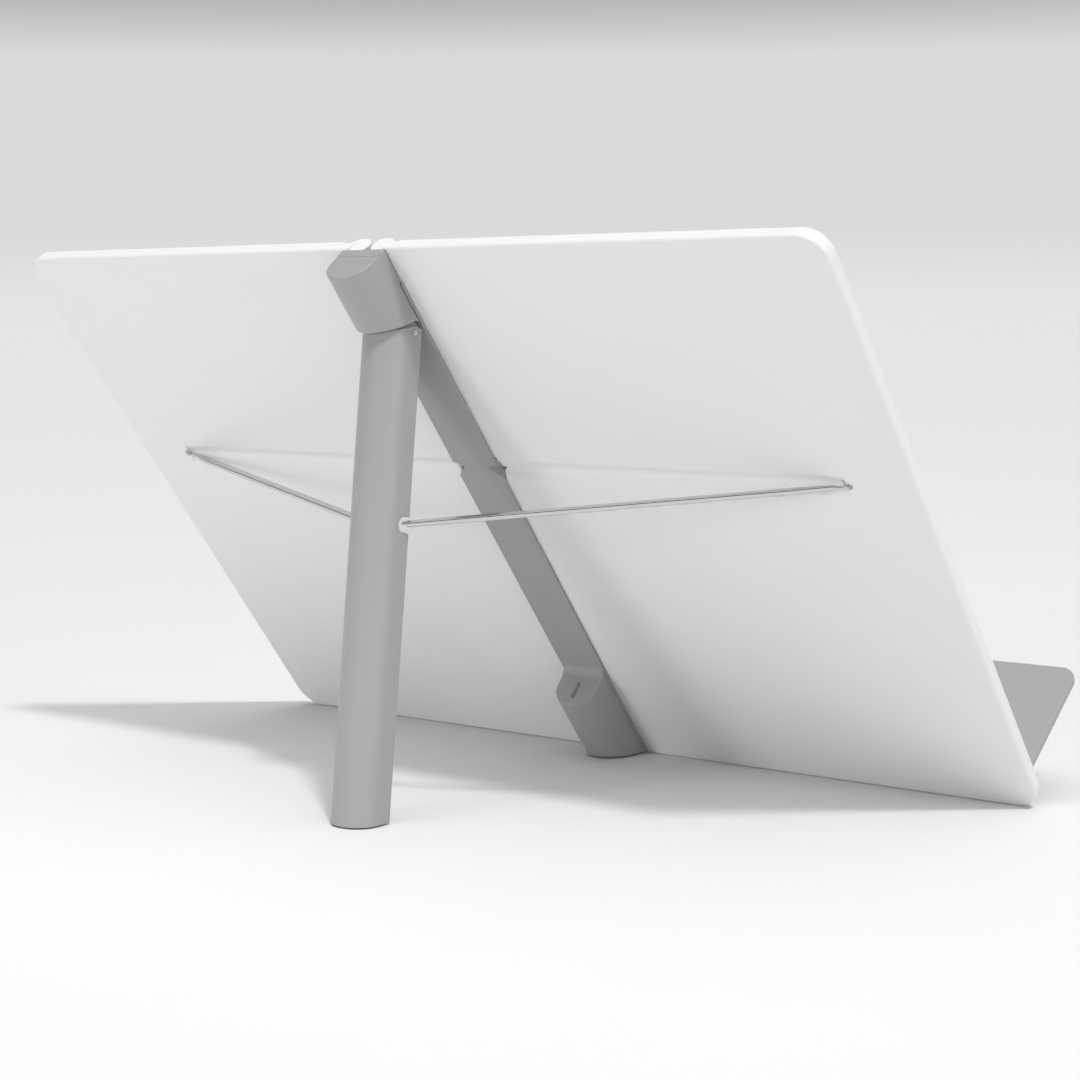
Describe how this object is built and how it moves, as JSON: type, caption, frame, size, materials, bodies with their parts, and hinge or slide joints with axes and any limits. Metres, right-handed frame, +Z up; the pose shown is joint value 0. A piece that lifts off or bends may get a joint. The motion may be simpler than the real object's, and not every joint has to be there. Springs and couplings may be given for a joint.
{
  "type": "portable drawing board",
  "caption": "Folding drawing board: hinged white leaves on a grey spine, a rear leg held by steel struts, and folding ledges along the lower edge.",
  "frame": {"origin": "centre of the object's box at the level of the surface it stands on", "axes": "+X to the user's right along the board, -Y towards the user and the drawing side, +Z up"},
  "size_m": [0.454, 0.2668, 0.254],
  "materials": {
    "white_shell": "fine satin moulding",
    "grey_plastic": "fine satin moulding",
    "steel": "polished",
    "foot_rubber": "matt"
  },
  "bodies": {
    "spine": {"spine_strip": "grey_plastic", "cap_hood": "grey_plastic", "cap_plate": "grey_plastic", "leg_bracket": "grey_plastic", "base_block": "grey_plastic", "base_pad": "foot_rubber", "leg_pivot_pin": "steel", "base_screw_1": "steel", "base_screw_2": "steel", "bracket_screw_1": "steel", "bracket_screw_2": "steel", "cap_screw_1": "steel", "cap_screw_2": "steel", "hinge_pin_right": "steel", "hinge_pin_left": "steel"},
    "leg": {"leg_channel": "grey_plastic", "leg_head": "grey_plastic", "leg_foot_plug": "grey_plastic", "leg_foot_pad": "foot_rubber"},
    "right_leaf": {"leaf_shell_right": "white_shell", "front_panel_right": "white_shell", "ledge_pin_right": "steel"},
    "right_ledge": {"ledge_right": "grey_plastic"},
    "right_strut": {"strut_right": "steel"},
    "left_leaf": {"leaf_shell_left": "white_shell", "front_panel_left": "white_shell", "ledge_pin_left": "steel"},
    "left_ledge": {"ledge_left": "grey_plastic"},
    "left_strut": {"strut_left": "steel"}
  },
  "joints": [
    {"name": "leg_pivot", "type": "hinge", "parent": "spine", "child": "leg", "pos_m": [0, 0.09327, 0.21315], "axis": [-1, 0, 0], "range_deg": [0, 44.4]},
    {"name": "right_leaf_hinge", "type": "hinge", "parent": "spine", "child": "right_leaf", "pos_m": [0.0057, 0.01282, 0.12728], "axis": [0, -0.6088, -0.7934], "range_deg": [0, 90]},
    {"name": "right_ledge_hinge", "type": "hinge", "parent": "right_leaf", "child": "right_ledge", "pos_m": [0.118, -0.07934, 0.01334], "axis": [-1, 0, 0], "range_deg": [0, 90]},
    {"name": "right_strut_hook", "type": "hinge", "parent": "right_leaf", "child": "right_strut", "pos_m": [0.1939, 0.03671, 0.15029], "axis": [-0.9167, 0.2709, 0.2938], "range_deg": [0, 49.26]},
    {"name": "left_leaf_hinge", "type": "hinge", "parent": "spine", "child": "left_leaf", "pos_m": [-0.0057, 0.01282, 0.12728], "axis": [0, 0.6088, 0.7934], "range_deg": [0, 90]},
    {"name": "left_ledge_hinge", "type": "hinge", "parent": "left_leaf", "child": "left_ledge", "pos_m": [-0.118, -0.07934, 0.01334], "axis": [-1, 0, 0], "range_deg": [0, 90]},
    {"name": "left_strut_hook", "type": "hinge", "parent": "left_leaf", "child": "left_strut", "pos_m": [-0.1939, 0.03671, 0.15029], "axis": [-0.9167, -0.2709, -0.2938], "range_deg": [0, 49.26]}
  ],
  "couplings": [
    {"joint": "right_strut_hook", "follows": "leg_pivot", "ratio": 1.1095},
    {"joint": "right_ledge_hinge", "follows": "right_leaf_hinge", "ratio": 1},
    {"joint": "left_strut_hook", "follows": "leg_pivot", "ratio": 1.1095},
    {"joint": "left_ledge_hinge", "follows": "left_leaf_hinge", "ratio": 1}
  ]
}
